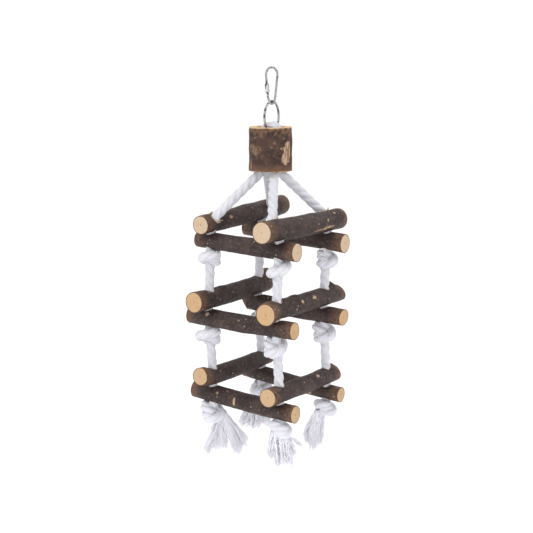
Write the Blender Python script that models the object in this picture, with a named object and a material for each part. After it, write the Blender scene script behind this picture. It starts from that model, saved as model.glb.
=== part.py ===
"""Hanging climbing ladder for cage birds: natural perches on two knotted cotton ropes.

Metres, +Z up.  The origin is where the hook bears, on the inside of the quick link's top, and
everything hangs below it.  X runs along each tier's lower perches and Y along its upper ones.
"""
import math

import bmesh
import bpy
from mathutils import Matrix, Vector

# ---- driving dimensions, in metres -------------------------------------------------------
GAP = 0.0003                 # between pieces that bear on each other

# hanging hardware
HANG_YAW = math.radians(8)   # the link and the ring are turned this far about Z
WIRE_R = 0.0012
LINK_HALF_WIDTH = 0.0067     # to the middle of the wire, at the wide upper end
LINK_HEIGHT = 0.0370         # between the wire's middles, top to bottom
LINK_FOOT_R = 0.0029         # bend of the narrow lower end, to the middle of the wire
LINK_GATE = 0.0040           # gap in the wire that the sleeve closes
SLEEVE_LENGTH = 0.0088
SLEEVE_R = 0.0024
SLEEVE_BORE_CLEARANCE = 0.0003
RING_R = 0.0156              # to the middle of the wire

# cotton rope, and the way through the wood
ROPE_R = 0.0046
HOLE_CLEARANCE = 0.0009
BIGHT_SIDE_GAP = 0.0007      # between the two ropes, side by side on the ring
TURN_R = 0.0120              # easy bend of a rope leg, to the middle of the rope
KNOT_CLEARANCE = 0.0005
KNOT_SEAT_GAP = 0.0008       # below a perch, which may slope a little

# bark block under the ring
BLOCK_TOP = -0.0593
BLOCK_HEIGHT = 0.0450
BLOCK_WALL = 0.0070
BLOCK_SPREAD = 0.0005        # the block is this much wider at its foot
BLOCK_BORE_CLEARANCE = 0.0009
BLOCK_FLARE = 0.0044         # the bore opens at the foot, where the rope legs spread
BLOCK_FLARE_HEIGHT = 0.0090
BLOCK_MIDDLE = (-0.0010, -0.0006)   # it hangs a little off the ring's middle, in X and Y

# perches: two lower ones along X, two upper ones along Y, at a corner pitch
CORNER_PITCH = 0.0876
BOW = 0.0014                 # how far a perch bends off the straight line

# The corners, as signs of X and Y.
CORNERS = {"fl": (-1, -1), "fr": (1, -1), "br": (1, 1), "bl": (-1, 1)}

# Each tier: its corner frame's middle in X and Y, the height of its lower perches, and its
# four perches.  A perch is (radius and radius, overhang and overhang, rise and rise) at its
# first corner and at its second; an upper perch lies on the lower ones, so it has no rise.
TIERS = {
    "top": {
        "middle": (-0.0024, -0.0002),
        "height": -0.1778,
        "front": ((0.0088, 0.0093), (0.017, 0.021), (0.0007, -0.0005)),
        "back": ((0.0100, 0.0099), (0.0205, 0.022), (0.0020, -0.0025)),
        "left": ((0.0098, 0.0106), (0.016, 0.041)),
        "right": ((0.0110, 0.0109), (0.028, 0.024)),
    },
    "middle": {
        "middle": (-0.0038, -0.0034),
        "height": -0.2592,
        "front": ((0.0096, 0.0090), (0.025, 0.022), (0.0000, 0.0010)),
        "back": ((0.0099, 0.0092), (0.024, 0.025), (0.0002, -0.0012)),
        "left": ((0.0102, 0.0102), (0.023, 0.015)),
        "right": ((0.0098, 0.0100), (0.017, 0.028)),
    },
    "bottom": {
        "middle": (-0.0008, -0.0008),
        "height": -0.3440,
        "front": ((0.0097, 0.0092), (0.025, 0.019), (0.0010, -0.0016)),
        "back": ((0.0088, 0.0083), (0.024, 0.0185), (0.0016, -0.0030)),
        "left": ((0.0096, 0.0090), (0.021, 0.013)),
        "right": ((0.0092, 0.0092), (0.020, 0.015)),
    },
}

# The spreading legs pull the top tier's upper perches round, so the holes there lean inwards at
# the top by so many degrees, and open so far along the perch from the hole in the lower perch.
HOLE_LEAN = {"fl": (42, 0.0), "fr": (52, 0.0), "br": (36, 0.0), "bl": (55, 0.008)}

# Which corners a perch joins, first to second.
SPANS = {"front": ("fl", "fr"), "back": ("bl", "br"), "left": ("fl", "bl"), "right": ("fr", "br")}

# Knots under each tier's corners: outer radius and height.
KNOTS = {
    "top": {
        "fl": (0.0120, 0.0165), "fr": (0.0116, 0.0180), "br": (0.0116, 0.0185), "bl": (0.0116, 0.0165),
    },
    "middle": {
        "fl": (0.0132, 0.0195), "fr": (0.0135, 0.0190), "br": (0.0128, 0.0195), "bl": (0.0120, 0.0165),
    },
    "bottom": {
        "fl": (0.0128, 0.0195), "fr": (0.0118, 0.0170), "br": (0.0120, 0.0170), "bl": (0.0126, 0.0155),
    },
}

# Frayed rope ends: how far down each reaches, its spread at the foot, and its lean in X and Y.
TASSELS = {
    "fl": (0.0370, 0.0190, (0.0130, 0.0080)),
    "fr": (0.0310, 0.0140, (0.0090, 0.0060)),
    "br": (0.0410, 0.0100, (-0.0130, -0.0100)),
    "bl": (0.0370, 0.0140, (-0.0080, -0.0060)),
}
TASSEL_NECK_R = 0.0050

# ---- scene, collections and materials ------------------------------------------------------
for old in list(bpy.data.objects):
    bpy.data.objects.remove(old, do_unlink=True)


def new_collection(name):
    collection = bpy.data.collections.new(name)
    bpy.context.scene.collection.children.link(collection)
    return collection


PARTS = new_collection("hanging_perch_ladder")
CUTTERS = new_collection("cutters")


def new_material(name, color, roughness, metallic=0.0):
    material = bpy.data.materials.new(name)
    material.use_nodes = True
    shader = material.node_tree.nodes["Principled BSDF"]
    shader.inputs["Base Color"].default_value = (*color, 1.0)
    shader.inputs["Roughness"].default_value = roughness
    shader.inputs["Metallic"].default_value = metallic
    return material


STEEL = new_material("zinc_plated_steel", (0.56, 0.56, 0.58), 0.25, 1.0)
BARK = new_material("smooth_dark_bark", (0.075, 0.052, 0.040), 0.62)
BLOCK_BARK = new_material("rough_brown_bark", (0.110, 0.070, 0.048), 0.75)
COTTON = new_material("white_cotton", (0.80, 0.79, 0.80), 0.90)


# ---- shape helpers ---------------------------------------------------------------------------
def add_object(name, mesh, material, collection=None):
    """Link a mesh as a named piece of the model."""
    piece = bpy.data.objects.new(name, mesh)
    (collection or PARTS).objects.link(piece)
    if material:
        mesh.materials.clear()
        mesh.materials.append(material)
    return piece


def tube_mesh(name, points, radii, sides):
    """A closed tube through points, with one radius or one per point."""
    curve = bpy.data.curves.new(name, "CURVE")
    curve.dimensions = "3D"
    curve.bevel_depth = 1.0
    curve.bevel_resolution = (sides - 4) // 2
    curve.use_fill_caps = True
    spline = curve.splines.new("POLY")
    spline.points.add(len(points) - 1)
    for index, point in enumerate(points):
        spline.points[index].co = (*point, 1.0)
        spline.points[index].radius = radii[index] if isinstance(radii, list) else radii
    holder = bpy.data.objects.new(name + "_curve", curve)
    PARTS.objects.link(holder)
    graph = bpy.context.evaluated_depsgraph_get()
    mesh = bpy.data.meshes.new_from_object(holder.evaluated_get(graph))
    bpy.data.objects.remove(holder)
    shell = bmesh.new()
    shell.from_mesh(mesh)
    bmesh.ops.remove_doubles(shell, verts=shell.verts, dist=1e-5)
    bmesh.ops.recalc_face_normals(shell, faces=shell.faces)
    shell.to_mesh(mesh)
    shell.free()
    mesh.name = name
    return mesh


def turned_mesh(name, profile, segments):
    """A closed profile of (radius, height) points, clear of the axis, turned about Z."""
    shell = bmesh.new()
    verts = [shell.verts.new((radius, 0.0, height)) for radius, height in profile]
    edges = [shell.edges.new((verts[i], verts[(i + 1) % len(verts)])) for i in range(len(verts))]
    bmesh.ops.spin(
        shell, geom=verts + edges, cent=(0, 0, 0), axis=(0, 0, 1),
        angle=math.tau, steps=segments, use_merge=True,
    )
    bmesh.ops.remove_doubles(shell, verts=shell.verts, dist=1e-5)
    bmesh.ops.recalc_face_normals(shell, faces=shell.faces)
    mesh = bpy.data.meshes.new(name)
    shell.to_mesh(mesh)
    shell.free()
    return mesh


def recentre(piece, origin):
    """Put a piece's origin at a point of the model, with its mesh where it is."""
    piece.data.transform(Matrix.Translation(-origin))
    piece.location = origin


def cut(piece, mesh, name):
    """Cut a piece with a mesh that stays in the cutters' collection."""
    cutter = add_object(name, mesh, None, CUTTERS)
    cutter.hide_render = True
    cutter.display_type = "WIRE"
    modifier = piece.modifiers.new(name, "BOOLEAN")
    modifier.operation = "DIFFERENCE"
    modifier.solver = "EXACT"
    modifier.object = cutter


def rounded_path(corners, radius, step):
    """Points along straight runs whose corners are eased by a bend of the given radius."""
    points = [corners[0]]
    for before, corner, after in zip(corners, corners[1:], corners[2:]):
        back = (before - corner).normalized()
        ahead = (after - corner).normalized()
        turn = math.pi - back.angle(ahead)
        if turn < math.radians(6):
            points.append(corner)
            continue
        reach = radius * math.tan(turn / 2)
        start = corner + back * reach
        end = corner + ahead * reach
        pieces = max(3, round(turn / math.radians(14)))
        for k in range(pieces + 1):
            t = k / pieces
            points.append(start.lerp(corner, t).lerp(corner.lerp(end, t), t))
    points.append(corners[-1])
    filled = [points[0]]
    for point in points[1:]:
        run = point - filled[-1]
        extra = int(run.length / step)
        start = filled[-1]
        filled += [start + run * (k / (extra + 1)) for k in range(1, extra + 1)]
        filled.append(point)
    return filled


# ---- places worked out from the driving dimensions --------------------------------------------
TURN_YAW = Matrix.Rotation(HANG_YAW, 3, "Z")
LINK_TOP = WIRE_R                                   # middle of the wire at the top
LINK_FOOT = LINK_TOP - LINK_HEIGHT                  # middle of the wire at the foot
RING_TOP = LINK_FOOT + 2 * WIRE_R + GAP
RING_FOOT = RING_TOP - 2 * RING_R                   # the ropes swing about this point
BIGHT_Y = ROPE_R + BIGHT_SIDE_GAP / 2               # the ropes lie this far from the ring's foot
BIGHT_RISE = RING_R - math.sqrt(RING_R ** 2 - BIGHT_Y ** 2)
RING_SLOPE = BIGHT_Y / (RING_R - BIGHT_RISE)        # of the ring's wire under a rope
BIGHT_EASE = 0.36 * RING_SLOPE * ROPE_R             # more room, because the wire slopes
BIGHT_R = ROPE_R + WIRE_R + GAP + BIGHT_EASE        # bend of the rope, to its middle
BLOCK_BOTTOM = BLOCK_TOP - BLOCK_HEIGHT
RING_DIP = RING_TOP - RING_R - BLOCK_TOP            # from the block's top up to the ring's middle
RING_REACH = math.sqrt((RING_R + WIRE_R) ** 2 - RING_DIP ** 2)      # its half width at the block's top
LEGS_REACH = math.hypot(BIGHT_R, BIGHT_Y) + ROPE_R
BLOCK_BORE_R = max(LEGS_REACH, RING_REACH) + math.hypot(*BLOCK_MIDDLE) + BLOCK_BORE_CLEARANCE
BLOCK_FLARE_R = BLOCK_BORE_R + BLOCK_FLARE
BLOCK_R = BLOCK_BORE_R + BLOCK_WALL
BLOCK_FOOT_R = BLOCK_R + BLOCK_SPREAD


def corner_place(tier, corner):
    """X and Y of a tier's hole."""
    middle = TIERS[tier]["middle"]
    signs = CORNERS[corner]
    return middle[0] + signs[0] * CORNER_PITCH / 2, middle[1] + signs[1] * CORNER_PITCH / 2


def lower_perch_at(tier, corner):
    """Height and radius of the lower perch at a corner."""
    side = "front" if corner[0] == "f" else "back"
    radii, _, rises = TIERS[tier][side]
    index = SPANS[side].index(corner)
    return TIERS[tier]["height"] + rises[index], radii[index]


def upper_perch_at(tier, corner):
    """Height and radius of the upper perch at a corner, where it lies on the lower one."""
    side = "left" if corner[1] == "l" else "right"
    radius = TIERS[tier][side][0][SPANS[side].index(corner)]
    height, lower_radius = lower_perch_at(tier, corner)
    return height + lower_radius + radius + GAP, radius


def perch_at(tier, side, corner):
    """The middle of a perch at a corner, and its radius there."""
    measure = lower_perch_at if side in ("front", "back") else upper_perch_at
    height, radius = measure(tier, corner)
    return Vector((*corner_place(tier, corner), height)), radius


def knot_span(tier, corner):
    """Top and bottom of the knot that bears a tier's corner."""
    height, radius = lower_perch_at(tier, corner)
    top = height - radius - KNOT_SEAT_GAP
    return top, top - KNOTS[tier][corner][1]


def leg_route(corner):
    """Corner points of a rope leg, from the middle of its bight down to its end."""
    signs = CORNERS[corner]
    inner = TURN_YAW @ Vector((signs[0] * BIGHT_R, signs[1] * BIGHT_Y, 0.0))
    route = [Vector((inner.x + BLOCK_MIDDLE[0], inner.y + BLOCK_MIDDLE[1], BLOCK_BOTTOM))]
    for tier in TIERS:
        x, y = corner_place(tier, corner)
        upper_height, upper_radius = upper_perch_at(tier, corner)
        if tier == "top":
            degrees, along = HOLE_LEAN[corner]
            lean = math.radians(degrees)
            inwards = -signs[0] * upper_radius * math.sin(lean)
            route.append(Vector((x + inwards, y + along, upper_height + upper_radius * math.cos(lean))))
        route.append(Vector((x, y, (upper_height + lower_perch_at(tier, corner)[0]) / 2)))
    foot = knot_span("bottom", corner)[1]
    route.append(Vector((*corner_place("bottom", corner), foot)))
    return route


def bight_route(front):
    """Points over the ring between two legs, from the left leg to the right one."""
    y = -BIGHT_Y if front else BIGHT_Y
    crown = RING_FOOT + BIGHT_RISE
    points = []
    for k in range(9):
        angle = math.pi * (1 - k / 8)
        local = Vector((BIGHT_R * math.cos(angle), y, crown + BIGHT_R * math.sin(angle)))
        points.append(TURN_YAW @ local)
    return points


# ---- hanging hardware --------------------------------------------------------------------------
def gate_leg():
    """Top and foot of the link's straight leg that carries the gate, in the link's own X and Z."""
    return Vector((-LINK_HALF_WIDTH, 0, -0.0068)), Vector((-LINK_FOOT_R - 0.0010, 0, -0.0310))


def link_outline():
    """The middle of the link's wire, from one face of the gate round to the other."""
    top, foot = gate_leg()
    along = (foot - top).normalized()
    gate = top.lerp(foot, 0.54)
    points = [gate + along * (LINK_GATE / 2)]
    points.append(foot)
    foot_middle = Vector((0, 0, LINK_FOOT + LINK_FOOT_R))
    for degrees in range(180, 361, 30):
        angle = math.radians(degrees)
        points.append(foot_middle + LINK_FOOT_R * Vector((math.cos(angle), 0, math.sin(angle))))
    points.append(Vector((LINK_FOOT_R + 0.0010, 0, foot.z)))
    points.append(Vector((LINK_HALF_WIDTH, 0, top.z)))
    for degrees in range(15, 166, 15):
        angle = math.radians(degrees)
        rise = (LINK_TOP - top.z) * math.sin(angle)
        points.append(Vector((LINK_HALF_WIDTH * math.cos(angle), 0, top.z + rise)))
    points.append(top)
    points.append(gate - along * (LINK_GATE / 2))
    return points, gate, along


def make_link():
    """Pear-shaped quick link, open at the gate, and the sleeve that closes it."""
    outline, gate, along = link_outline()
    points = [TURN_YAW @ point for point in outline]
    add_object("quick_link", tube_mesh("quick_link", points, WIRE_R, 10), STEEL)
    bore = WIRE_R + SLEEVE_BORE_CLEARANCE
    half = SLEEVE_LENGTH / 2
    chamfer = 0.0004
    profile = [
        (bore, -half), (SLEEVE_R - chamfer, -half), (SLEEVE_R, -half + chamfer),
        (SLEEVE_R, half - chamfer), (SLEEVE_R - chamfer, half), (bore, half),
    ]
    mesh = turned_mesh("link_sleeve", profile, 16)
    sleeve = add_object("link_sleeve", mesh, STEEL)
    direction = TURN_YAW @ (-along)
    sleeve.rotation_euler = direction.to_track_quat("Z", "Y").to_euler()
    sleeve.location = TURN_YAW @ gate


def make_ring():
    """Welded ring across the link's foot."""
    bpy.ops.mesh.primitive_torus_add(
        major_segments=40, minor_segments=10, major_radius=RING_R, minor_radius=WIRE_R,
        rotation=(0, math.pi / 2, HANG_YAW),
    )
    ring = bpy.context.object
    ring.name = "hanging_ring"
    for collection in list(ring.users_collection):
        collection.objects.unlink(ring)
    PARTS.objects.link(ring)
    ring.data.materials.append(STEEL)
    ring.data.transform(ring.matrix_world.to_3x3().to_4x4())
    ring.rotation_euler = (0, 0, 0)
    ring.data.transform(Matrix.Translation((0, 0, -RING_R)))
    ring.location = (0, 0, RING_TOP)


def make_block():
    """Turned bark block with a central bore for the four rope legs."""
    ease = 0.0008
    profile = [
        (BLOCK_BORE_R, BLOCK_TOP), (BLOCK_R - ease, BLOCK_TOP), (BLOCK_R, BLOCK_TOP - ease),
        (BLOCK_FOOT_R, BLOCK_BOTTOM + ease), (BLOCK_FOOT_R - ease, BLOCK_BOTTOM),
        (BLOCK_FLARE_R, BLOCK_BOTTOM), (BLOCK_BORE_R, BLOCK_BOTTOM + BLOCK_FLARE_HEIGHT),
    ]
    mesh = turned_mesh("head_block", profile, 32)
    mesh.transform(Matrix.Translation((*BLOCK_MIDDLE, 0)))
    block = add_object("head_block", mesh, BLOCK_BARK)
    recentre(block, Vector((0, 0, RING_FOOT)))


# ---- ropes ---------------------------------------------------------------------------------------
def rope_points(front):
    """One rope from its left end, over the ring, to its right end."""
    left, right = ("fl", "fr") if front else ("bl", "br")
    crown = bight_route(front)
    left_leg = rounded_path([crown[0]] + leg_route(left), TURN_R, 0.024)
    right_leg = rounded_path([crown[-1]] + leg_route(right), TURN_R, 0.024)
    return left_leg[::-1] + crown[1:-1] + right_leg


def make_ropes():
    for name, front in (("rope_front", True), ("rope_back", False)):
        rope = add_object(name, tube_mesh(name, rope_points(front), ROPE_R, 8), COTTON)
        recentre(rope, Vector((0, 0, RING_FOOT)))


def hole_mesh(corner, name):
    """The way that a rope leg takes through the wood, with its clearance."""
    route = leg_route(corner)
    route[-1] = route[-1] - Vector((0, 0, 0.01))
    return tube_mesh(name, rounded_path(route, TURN_R, 0.1), ROPE_R + HOLE_CLEARANCE, 12)


def make_knot(tier, corner):
    """A knot as a closed bead round the rope."""
    radius, _ = KNOTS[tier][corner]
    top, bottom = knot_span(tier, corner)
    bore = ROPE_R + KNOT_CLEARANCE
    half = (top - bottom) / 2
    profile = [(bore, half)]
    for degrees in (90, 66, 36, 0, -36, -66, -90):
        angle = math.radians(degrees)
        waist = (radius + bore) / 2
        profile.append((waist + (radius - waist) * math.cos(angle), half * math.sin(angle)))
    profile.append((bore, -half))
    name = f"knot_{tier}_{corner}"
    knot = add_object(name, turned_mesh(name, profile, 14), COTTON)
    place, direction = rope_place(leg_route(corner), (top + bottom) / 2)
    knot.location = place
    knot.rotation_euler = direction.to_track_quat("Z", "Y").to_euler()


def rope_place(route, height):
    """The point of a leg's route at a height, and the way up along the leg there."""
    for above, below in zip(route, route[1:]):
        if above.z >= height >= below.z:
            break
    share = (above.z - height) / (above.z - below.z)
    return above.lerp(below, share), (above - below).normalized()


def make_tassel(corner):
    """The frayed end below the last knot, as one flared solid."""
    reach, spread, lean = TASSELS[corner]
    foot = knot_span("bottom", corner)[1]
    start = Vector((*corner_place("bottom", corner), foot - 2 * GAP))
    points = []
    radii = []
    for k in range(6):
        t = k / 5
        points.append(start + Vector((lean[0] * t * t, lean[1] * t * t, -reach * t)))
        radii.append(TASSEL_NECK_R + (spread - TASSEL_NECK_R) * math.sin(t * math.pi * 0.62))
    name = f"tassel_{corner}"
    add_object(name, tube_mesh(name, points, radii, 10), COTTON)


# ---- perches -----------------------------------------------------------------------------------------
def perch_line(tier, side):
    """Middle points and radii along a perch, from its first end to its second."""
    first, second = SPANS[side]
    start, start_radius = perch_at(tier, side, first)
    end, end_radius = perch_at(tier, side, second)
    overhangs = TIERS[tier][side][1]
    along = (end - start).normalized()
    span = (end - start).length
    sway = along.cross(Vector((0, 0, 1))).normalized()
    points = []
    radii = []
    stations = 9
    for k in range(stations):
        distance = -overhangs[0] + (span + overhangs[0] + overhangs[1]) * k / (stations - 1)
        t = distance / span
        bend = BOW * math.sin(math.pi * t)
        points.append(start + along * distance + sway * bend)
        radii.append(start_radius + (end_radius - start_radius) * t)
    return points, radii


def make_perch(tier, side, holes):
    """A natural branch with a drilled hole near each end for its ropes."""
    points, radii = perch_line(tier, side)
    name = f"perch_{tier}_{side}"
    perch = add_object(name, tube_mesh(name, points, radii, 12), BARK)
    for corner in SPANS[side]:
        cut(perch, holes[corner].copy(), f"hole_{tier}_{side}_{corner}")
    first, _ = perch_at(tier, side, SPANS[side][0])
    recentre(perch, first)


def hang_on_ring():
    """Everything that the ropes carry swings about the ring's foot, on one empty."""
    pivot = bpy.data.objects.new("rope_swing_pivot", None)
    PARTS.objects.link(pivot)
    pivot.location = (0, 0, RING_FOOT)
    bpy.context.view_layer.update()
    for piece in PARTS.objects:
        if piece.name in ("quick_link", "link_sleeve", "hanging_ring") or piece == pivot:
            continue
        piece.parent = pivot
        piece.matrix_parent_inverse = pivot.matrix_world.inverted()


# ---- the whole ladder -----------------------------------------------------------------------------------
make_link()
make_ring()
make_block()
make_ropes()
HOLES = {corner: hole_mesh(corner, "hole_" + corner) for corner in CORNERS}
for tier_name in TIERS:
    for side_name in SPANS:
        make_perch(tier_name, side_name, HOLES)
    for corner_name in CORNERS:
        make_knot(tier_name, corner_name)
for corner_name in CORNERS:
    make_tassel(corner_name)
hang_on_ring()
for piece in PARTS.objects:
    if piece.type == "MESH":
        piece.data.shade_smooth()
        piece.data.set_sharp_from_angle(angle=math.radians(35))
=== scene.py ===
# %% [markdown]
# # A hanging climbing ladder for cage birds
# Twelve natural perches hang in three tiers on two knotted cotton ropes.  The ropes pass through
# a bark block and over a small steel ring, and the ring hangs from a quick link.  The fixed model
# gives every place and every motion; this script only gives each piece its looks.

# %% Load the fixed model
import math

import bmesh
import bpy
import numpy as np
from mathutils import Matrix, Vector, noise


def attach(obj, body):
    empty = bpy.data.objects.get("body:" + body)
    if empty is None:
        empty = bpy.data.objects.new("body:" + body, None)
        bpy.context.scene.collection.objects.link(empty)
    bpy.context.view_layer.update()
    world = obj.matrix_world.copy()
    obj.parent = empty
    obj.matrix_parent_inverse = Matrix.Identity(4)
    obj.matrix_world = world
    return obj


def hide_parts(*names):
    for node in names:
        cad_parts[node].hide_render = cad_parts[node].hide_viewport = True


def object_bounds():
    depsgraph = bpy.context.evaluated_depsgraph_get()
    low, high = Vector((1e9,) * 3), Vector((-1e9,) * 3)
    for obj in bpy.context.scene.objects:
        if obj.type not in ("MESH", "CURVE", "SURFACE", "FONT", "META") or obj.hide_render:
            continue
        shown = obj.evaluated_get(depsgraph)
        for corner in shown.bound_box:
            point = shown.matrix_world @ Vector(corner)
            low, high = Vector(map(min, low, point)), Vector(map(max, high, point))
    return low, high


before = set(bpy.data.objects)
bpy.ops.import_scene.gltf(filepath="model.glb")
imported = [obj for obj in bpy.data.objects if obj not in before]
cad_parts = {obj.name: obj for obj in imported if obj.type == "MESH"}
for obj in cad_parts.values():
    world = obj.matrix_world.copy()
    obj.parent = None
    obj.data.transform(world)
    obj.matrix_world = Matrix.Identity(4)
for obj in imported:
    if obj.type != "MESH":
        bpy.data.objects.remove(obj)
CAD_BOX = [[float(value) for value in corner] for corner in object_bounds()]

# %% [markdown]
# ## The camera, the floor and the light
# The ladder hangs free, a little below eye height, and is seen from its front right.  A long lens
# keeps the tiers nearly parallel.  The floor is well below, so that nothing but air is near the
# piece.  A bright even sky gives the soft light of a white tent.  Two large lamps above give the
# tops of the perches a little more light than their undersides, and a small weak lamp low down in
# front brightens the tassels.

# %% Camera
CAMERA_PLACE = Vector((0.6365, -0.8777, 0.0052))
TURN, DIP = math.radians(36.23), math.radians(11.04)

camera_data = bpy.data.cameras.new("view")
camera_data.sensor_width = 36.0
camera_data.lens = 70.4
camera = bpy.data.objects.new("view", camera_data)
camera.location = CAMERA_PLACE
camera.rotation_euler = (math.pi / 2 - DIP, 0.0, TURN)
bpy.context.scene.collection.objects.link(camera)
bpy.context.scene.camera = camera
bpy.context.scene.view_settings.view_transform = "Standard"
print("camera", [round(value, 3) for value in camera.location])

# %% [markdown]
# ## A small kit for materials
# A finish is a formula over the surface: a mask times a colour, a noise plus a wave.  Python's
# own + - * / say that best, so one class wraps a node's socket and adds a Math node for each
# operator.  Colours are mixed by Mix nodes, because a Math node would turn them grey.


# %% Values that add Math nodes
class Value:
    """One output of a material's nodes, which can be used in an expression."""

    def __init__(self, paint, socket):
        self.paint = paint
        self.socket = socket

    def __add__(self, other):
        return self.paint.math("ADD", self, other)

    def __sub__(self, other):
        return self.paint.math("SUBTRACT", self, other)

    def __rsub__(self, other):
        return self.paint.math("SUBTRACT", other, self)

    def __mul__(self, other):
        return self.paint.math("MULTIPLY", self, other)

    __radd__ = __add__
    __rmul__ = __mul__


# %% A material and its nodes
class Paint:
    """A material whose look is built from expressions."""

    def __init__(self, name, **constants):
        self.material = bpy.data.materials.new(name)
        self.material.use_nodes = True
        self.tree = self.material.node_tree
        self.shader = self.tree.nodes["Principled BSDF"]
        self.set(**constants)

    def node(self, kind, settings=None, sockets=None, output=0):
        """Any node: its settings first, then a value or a link for each socket."""
        made = self.tree.nodes.new(kind)
        for name, value in (settings or {}).items():
            setattr(made, name, value)
        for key, value in (sockets or {}).items():
            self.feed(made.inputs[key], value)
        return Value(self, made.outputs[output])

    def feed(self, socket, value):
        if isinstance(value, Value):
            self.tree.links.new(value.socket, socket)
        else:
            socket.default_value = value

    def set(self, **sockets):
        """Values or links for the shader, with _ for each space in a socket's name."""
        for name, value in sockets.items():
            self.feed(self.shader.inputs[name.replace("_", " ")], value)

    def math(self, operation, first, second=0.0):
        return self.node("ShaderNodeMath", {"operation": operation}, {0: first, 1: second})

    def object_place(self):
        return self.node("ShaderNodeTexCoord", output="Object")

    def vector_attribute(self, name):
        return self.node("ShaderNodeAttribute", {"attribute_name": name}, output="Vector")

    def mask_attribute(self, name):
        return self.node("ShaderNodeAttribute", {"attribute_name": name}, output="Fac")

    def stretched(self, place, scale):
        """The same place with its axes scaled, so that a pattern on it is drawn out."""
        return self.node("ShaderNodeMapping", sockets={"Vector": place, "Scale": scale})

    def noise(self, place, scale, detail=3.0, roughness=0.55):
        settings = {"Vector": place, "Scale": scale, "Detail": detail, "Roughness": roughness}
        return self.node("ShaderNodeTexNoise", sockets=settings)

    def step(self, value, low, high):
        """0 below low, 1 above high, and a soft edge between."""
        limits = {"Value": value, "From Min": low, "From Max": high}
        return self.node("ShaderNodeMapRange", {"interpolation_type": "SMOOTHSTEP"}, limits)

    def mix(self, share, first, second):
        """The first colour where share is 0 and the second where it is 1."""
        return self.node("ShaderNodeMix", {"data_type": "RGBA"}, {0: share, 6: first, 7: second}, 2)

    def relief(self, height, distance, strength=1.0):
        """Fine relief of the surface, with its height in metres."""
        sockets = {"Height": height, "Distance": distance, "Strength": strength}
        self.set(Normal=self.node("ShaderNodeBump", sockets=sockets))


def tone(red, green, blue):
    """A colour from its red, green and blue as they look on a screen, 0 to 255."""
    linear = []
    for value in (red, green, blue):
        linear.append(((value / 255 + 0.055) / 1.055) ** 2.4 if value > 10 else value / 3294)
    return (*linear, 1.0)


# %% A mesh from a finished shell
def finished_mesh(name, shell):
    """A mesh from what bmesh has built."""
    mesh = bpy.data.meshes.new(name)
    shell.to_mesh(mesh)
    shell.free()
    return mesh


# %% Floor and lamps
FLOOR_DROP = 0.16            # from the lowest tassel to the floor
FLOOR_SIZE = 30.0

floor_paint = Paint("pale_floor", Roughness=0.9)
floor_grain = floor_paint.noise(floor_paint.object_place(), 3.0)
floor_paint.set(Base_Color=floor_paint.mix(floor_grain, tone(251, 251, 252), tone(253, 253, 253)))
floor_shell = bmesh.new()
bmesh.ops.create_grid(floor_shell, x_segments=1, y_segments=1, size=FLOOR_SIZE / 2)
bmesh.ops.translate(floor_shell, vec=(0, 0, CAD_BOX[0][2] - FLOOR_DROP), verts=floor_shell.verts)
floor_data = finished_mesh("floor", floor_shell)
floor_data.materials.append(floor_paint.material)
floor = bpy.data.objects.new("floor", floor_data)
bpy.context.scene.collection.objects.link(floor)

world = bpy.data.worlds.new("white_tent")
bpy.context.scene.world = world
world.use_nodes = True
world.node_tree.nodes["Background"].inputs["Color"].default_value = (1.0, 1.0, 1.0, 1.0)
world.node_tree.nodes["Background"].inputs["Strength"].default_value = 1.04


def lamp(name, place, aim, size, power):
    """A square soft lamp at a place, turned to a point."""
    data = bpy.data.lights.new(name, "AREA")
    data.size = size
    data.energy = power
    made = bpy.data.objects.new(name, data)
    made.location = place
    made.rotation_euler = (Vector(aim) - Vector(place)).to_track_quat("-Z", "Y").to_euler()
    bpy.context.scene.collection.objects.link(made)


lamp("key_lamp", (-0.2, -1.3, 1.3), (0, 0, -0.22), 1.2, 9.0)
lamp("top_lamp", (0.5, 0.5, 1.6), (0, 0, -0.22), 1.4, 7.0)
lamp("low_lamp", (0.34, -0.42, -0.44), (0, 0, -0.40), 0.36, 0.40)

# %% [markdown]
# ## The driving dimensions
# The fixed model was built from these few sizes, and the ropes have to follow the same way
# through the same holes.  They are said again here, in metres, because the looks may read
# nothing but the fixed model.  Only the knots differ: they are a little fatter here, and some
# hang a little to one side of their rope.

# %% Sizes, in metres
GAP = 0.0003
HANG_YAW = math.radians(8)
WIRE_R = 0.0012
LINK_HALF_WIDTH = 0.0067
LINK_HEIGHT = 0.0370
LINK_FOOT_R = 0.0029
LINK_GATE = 0.0040
SLEEVE_LENGTH = 0.0088
SLEEVE_R = 0.0024
RING_R = 0.0156
ROPE_R = 0.0046
HOLE_CLEARANCE = 0.0009
BIGHT_SIDE_GAP = 0.0007
TURN_R = 0.0120
KNOT_SEAT_GAP = 0.0008
BLOCK_TOP = -0.0593
BLOCK_HEIGHT = 0.0450
BLOCK_WALL = 0.0070
BLOCK_SPREAD = 0.0005
BLOCK_BORE_CLEARANCE = 0.0009
BLOCK_FLARE = 0.0044
BLOCK_FLARE_HEIGHT = 0.0090
BLOCK_MIDDLE = (-0.0010, -0.0006)
CORNER_PITCH = 0.0876
BOW = 0.0014

LINK_TOP = WIRE_R
LINK_FOOT = LINK_TOP - LINK_HEIGHT
RING_TOP = LINK_FOOT + 2 * WIRE_R + GAP
RING_FOOT = RING_TOP - 2 * RING_R
BIGHT_Y = ROPE_R + BIGHT_SIDE_GAP / 2
BLOCK_BOTTOM = BLOCK_TOP - BLOCK_HEIGHT
TURN_YAW = Matrix.Rotation(HANG_YAW, 3, "Z")

# %% Tiers, knots and tassels
CORNERS = {"fl": (-1, -1), "fr": (1, -1), "br": (1, 1), "bl": (-1, 1)}
SPANS = {"front": ("fl", "fr"), "back": ("bl", "br"), "left": ("fl", "bl"), "right": ("fr", "br")}

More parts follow.
